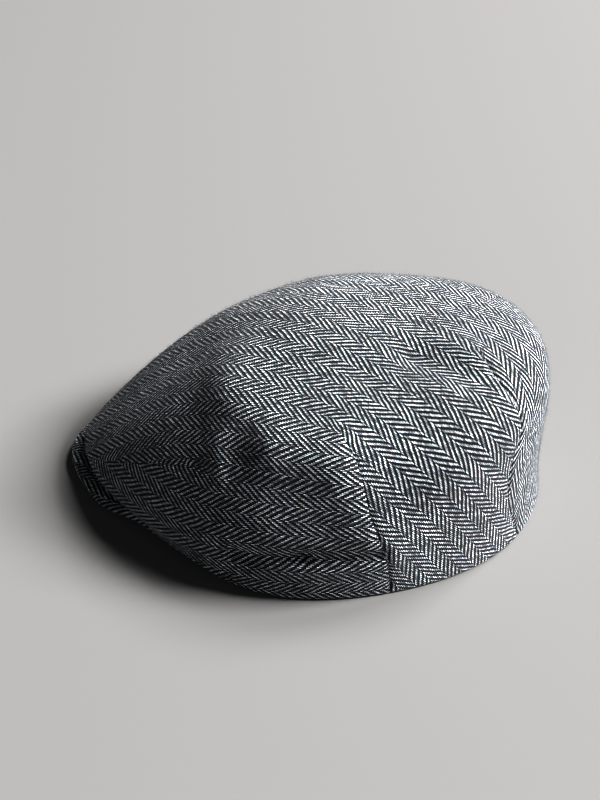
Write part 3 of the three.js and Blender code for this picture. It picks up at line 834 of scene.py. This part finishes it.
# %% The crown
def crown_parts():
    """Points, faces and pattern places of the crown: outer skin from the apex down, inner skin back up."""
    rows = len(shares) - 1
    columns = np.append(0, np.cumsum([panel["turns"].shape[1] - 1 for panel in panels]))
    around = columns[-1]
    points, faces, pattern = [], [], []
    for skin_name, turn_over in (("outer", 1), ("inner", -1)):
        base = len(points)
        grid = np.hstack([panel[skin_name][1:, :-1] for panel in panels])
        points.extend([panels[0][skin_name][0, 0], *grid.reshape(-1, 3)])
        for panel, left in zip(panels, columns):
            uv = panel["pattern"]
            for k in range(uv.shape[1] - 1):
                i, j = base + 1 + (left + k) % around, base + 1 + (left + k + 1) % around
                faces.append([base, i, j][::turn_over])
                pattern.extend([uv[0, k], uv[1, k], uv[1, k + 1]][::turn_over])
                for row in range(rows - 1):
                    a = row * around
                    faces.append([a + i, a + around + i, a + around + j, a + j][::turn_over])
                    corner = [uv[row + 1, k], uv[row + 2, k], uv[row + 2, k + 1], uv[row + 1, k + 1]]
                    pattern.extend(corner[::turn_over])
    outer_last = 1 + (rows - 1) * around
    inner_last = outer_last + 1 + rows * around
    for panel, left in zip(panels, columns):
        uv = panel["pattern"]
        beyond = 2 * uv[-1] - uv[-4]     # the cloth runs on under the edge
        for k in range(uv.shape[1] - 1):
            i, j = (left + k) % around, (left + k + 1) % around
            faces.append([outer_last + i, inner_last + i, inner_last + j, outer_last + j])
            pattern.extend([uv[-1, k], beyond[k], beyond[k + 1], uv[-1, k + 1]])
    return points, faces, pattern


crown = mesh_from_faces("crown_cloth", *crown_parts(), tweed)
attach(crown, "root")
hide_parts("crown")
print("crown", len(crown.data.polygons), "faces")

# %% [markdown]
# Short loose fibres stand out of tweed all over, and they blur its edges against the floor. A hair system could grow
# them, but its strands belong to no mesh. One mesh of thin closed spikes, each a tuft with its root sunk in the
# cloth, is plain geometry and looks the same at this size. They are drawn thicker than single fibres, to show at all.

# %% The loose fibres
FIBRES = 42000
FIBRE_LENGTH = (0.9, 3.2)        # shortest and longest
FIBRE_WIDTH = 0.1                # of a tuft, at the root
FIBRE_ROOT = 0.2                 # how deep it sits in the cloth
FIBRE_RISE = 0.9                 # how steeply they stand, against how far they lean
FIBRE_LEAN = 0.6
FIBRE_LEAST = 0.15               # the least they stand out, on the same scale
FIBRE_CLEAR = 0.3                # the least height over the floor
FIBRE_COLOUR = "#5c6066"
LOOK_FROM = (0, 0, 30)           # a point inside the cap, which tells the outer side of a face


def fibre_parts():
    """Points and faces: a thin three-sided spike for each tuft, at random places of the outer skin."""
    chance = np.random.default_rng(7)
    skins = [panel["outer"] for panel in panels]
    quads = [np.stack([g[:-1, :-1], g[1:, :-1], g[1:, 1:], g[:-1, 1:]], axis=2).reshape(-1, 4, 3) for g in skins]
    quads = np.concatenate(quads)
    normal = np.cross(quads[:, 2] - quads[:, 0], quads[:, 3] - quads[:, 1])
    area = np.linalg.norm(normal, axis=1)
    outwards = np.sign(np.sum(normal * (quads.mean(axis=1) - LOOK_FROM), axis=1))
    picked = chance.choice(len(area), FIBRES, p=area / area.sum())
    normal = (normal * (outwards / np.maximum(area, 1e-9))[:, None])[picked]
    u, v = chance.random((2, FIBRES, 1))
    a, b, c, d = np.moveaxis(quads[picked], 1, 0)
    root = (1 - v) * ((1 - u) * a + u * b) + v * ((1 - u) * d + u * c) - normal * FIBRE_ROOT
    way = normal * FIBRE_RISE * chance.random((FIBRES, 1)) + FIBRE_LEAN * chance.normal(size=(FIBRES, 3))
    way += normal * np.maximum(FIBRE_LEAST - np.sum(way * normal, axis=1, keepdims=True), 0)
    way /= np.linalg.norm(way, axis=1, keepdims=True)
    tip = root + way * chance.uniform(*FIBRE_LENGTH, (FIBRES, 1))
    aside = np.cross(way, chance.normal(size=(FIBRES, 3)))
    aside *= FIBRE_WIDTH / 2 / np.linalg.norm(aside, axis=1, keepdims=True)
    third = np.cross(way, aside) * math.sqrt(3) / 2
    tufts = np.stack([root + aside, root - aside / 2 + third, root - aside / 2 - third, tip], axis=1)
    tufts = tufts[tufts[:, :, 2].min(axis=1) > FIBRE_CLEAR]
    sides = np.array([(0, 2, 1), (0, 1, 3), (1, 2, 3), (2, 0, 3)])
    faces = np.arange(len(tufts))[:, None, None] * 4 + sides
    return tufts.reshape(-1, 3), faces.reshape(-1, 3).tolist()


loose_wool, tree = new_material("loose wool fibres, undyed and dyed")
fibre_shader = add(tree, "BsdfPrincipled", {"Base Color": linear(FIBRE_COLOUR), "Roughness": WOOL_ROUGHNESS,
                                            "IOR": WOOL_IOR})
add(tree, "OutputMaterial", {"Surface": fibre_shader})
fibre_points, fibre_faces = fibre_parts()
fibre_places = fibre_points[np.ravel(fibre_faces), :2]
nap = mesh_from_faces("crown_fibres", fibre_points, fibre_faces, fibre_places, loose_wool)
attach(nap, "root")
print("tufts of fibre", len(fibre_points) // 4)

# %% [markdown]
# ## The peak
# The peak is a stiff crescent of board with the same tweed stretched over it. Only its rounded front edge shows under
# the crown. It could be an outline with a bevel. It is lofted through sections instead, because it droops in the
# middle and dies away under the crown at both corners.

# %% The peak's driving sizes, in mm
PEAK_THICKNESS = 4.5
PEAK_DROOP = 4                   # how far its front edge lies below its seat under the crown
PEAK_RISE = 10                   # how far its root lies above the seat, inside the crown
PEAK_CORNER_TURN = 52            # degrees from the middle of the front to each corner
PEAK_CORNER_START = 0.75         # the part of the way to the corner where the root draws in
PEAK_CORNER_DRAW = 0.85          # how far it draws in
OPENING_FRONT = 78               # middle of the cap to the peak's root
SEAT_GAP = 0.3                   # play between the peak and the crown's edge
GROOVE_DEPTH = 1.9               # of the hollow in the peak's top along the crown's edge
GROOVE_MIDDLE = 0.38             # its place between the seat and the front edge's roll
GROOVE_WIDTH = 0.22              # and its width, as shares of that distance

# spread: the part of the way from the middle to a corner.  The others: shares of the sizes above.
PEAK_SECTIONS = table(
    "spread overhang droop rise thickness",
    (0, 1, 1, 1, 1),
    (0.25, 0.74, 0.9, 0.94, 1),
    (0.44, 0.54, 0.8, 0.8, 1),
    (0.58, 0, 0.45, 0.66, 0.95),
    (0.75, -0.18, 0.15, 0.44, 0.8),
    (1, -0.25, 0.05, 0.1, 0.5),
)
spreads = [-row["spread"] for row in PEAK_SECTIONS[:0:-1]] + [row["spread"] for row in PEAK_SECTIONS]
peak_share = {}
for key in ("overhang", "droop", "rise", "thickness"):
    column = [row[key] for row in PEAK_SECTIONS]
    peak_share[key] = curve_through(spreads, column[:0:-1] + column)

# %% The peak's sections
PEAK_STEPS = 220                 # sections from corner to corner
TOP_STEPS, NOSE_STEPS, UNDER_STEPS = 14, 12, 14      # points along each stretch of a section

spread = np.linspace(-1, 1, PEAK_STEPS + 1)
turn = 180 - PEAK_CORNER_TURN * spread
out = edge_outwards(turn)
edge = edge_point(turn)
up = np.array([0, 0, 1])
thick = PEAK_THICKNESS * peak_share["thickness"](spread)[:, None]
seat = edge - out * edge_thickness(turn)[:, None] - up * SEAT_GAP
tip = edge + out * PEAK_OVERHANG * peak_share["overhang"](spread)[:, None]
tip[:, 2] = seat[:, 2] - PEAK_DROOP * peak_share["droop"](spread)
around = np.arctan2(edge[:, 0], -edge[:, 1])
root_reach = 1 / np.hypot(np.sin(around) / (HEM_HALF_WIDTH - HEM_THICKNESS), np.cos(around) / OPENING_FRONT)
root = np.stack([root_reach * np.sin(around), -root_reach * np.cos(around), 0 * around], -1)
draw = PEAK_CORNER_DRAW * smooth(PEAK_CORNER_START, 1, np.abs(spread))[:, None]
root = root + (seat - root) * draw
root[:, 2] = seat[:, 2] + PEAK_RISE * peak_share["rise"](spread)

part = np.linspace(0, 1, TOP_STEPS + 1)[:, None, None]
shoulder = tip - out * thick / 2
hidden = root + (seat - root) * part[:-1]
ends = np.minimum(1, 8 * part * (1 - part))     # the hollow runs out at both of them
groove = ends * np.exp(-((part - GROOVE_MIDDLE) / GROOVE_WIDTH) ** 2)
shown = seat + (shoulder - seat) * part - up * GROOVE_DEPTH * groove
angle = np.linspace(0, math.pi, NOSE_STEPS + 1)[1:, None, None]
nose = shoulder + (out * np.sin(angle) - up * (1 - np.cos(angle))) * thick / 2
part = np.linspace(0, 1, UNDER_STEPS + 1)[1:, None, None]
under = nose[-1] + (seat - up * thick - nose[-1]) * part
inside = under[-1] + (root - up * thick - under[-1]) * part
ring = np.concatenate([hidden, shown, nose, under, inside])        # one closed line round each section
print("peak", ring.shape, "thickest", thick.max().round(1), "mm")

# %% [markdown]
# The cloth on top runs on round the front edge. Underneath lies a second piece, sewn on where the edge ends. So the
# places on the cloth follow the plan of the peak on top, go on by the length of the curve round the edge, and start
# anew below.

# %% The peak
PEAK_GRAIN = math.radians(30)    # the same slanting cut as the crown's


def peak_parts():
    rows = len(ring)
    run = np.cumsum(np.linalg.norm(np.diff(ring, axis=0, prepend=ring[:1]), axis=2), axis=0)
    run -= run[len(hidden)]
    over = seat[:, :2] + out[:, :2] * run[:, :, None]
    below = ring[:, :, :2] * (-1, 1)
    cos, sin = math.cos(PEAK_GRAIN), math.sin(PEAK_GRAIN)
    turned_map = np.array([[cos, sin], [-sin, cos]])
    over, below = over @ turned_map, below @ turned_map
    points = ring.reshape(-1, 3)
    faces, pattern = [], []
    top_rows = len(hidden) + len(shown) + len(nose) - 1
    for row in range(rows):
        place = over if row < top_rows else below
        lower = (row + 1) % rows
        for k in range(PEAK_STEPS):
            a, b = row * (PEAK_STEPS + 1) + k, lower * (PEAK_STEPS + 1) + k
            faces.append([a, a + 1, b + 1, b])
            pattern.extend([place[row, k], place[row, k + 1], place[lower, k + 1], place[lower, k]])
    for k, order in ((0, 1), (PEAK_STEPS, -1)):
        faces.append([row * (PEAK_STEPS + 1) + k for row in range(rows)][::order])
        pattern.extend([below[row, k] for row in range(rows)][::order])
    return points, faces, pattern


peak = mesh_from_faces("peak_cloth", *peak_parts(), tweed_material("herringbone tweed, stretched over board"))
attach(peak, "root")
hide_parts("peak")
print("peak", len(peak.data.polygons), "faces")
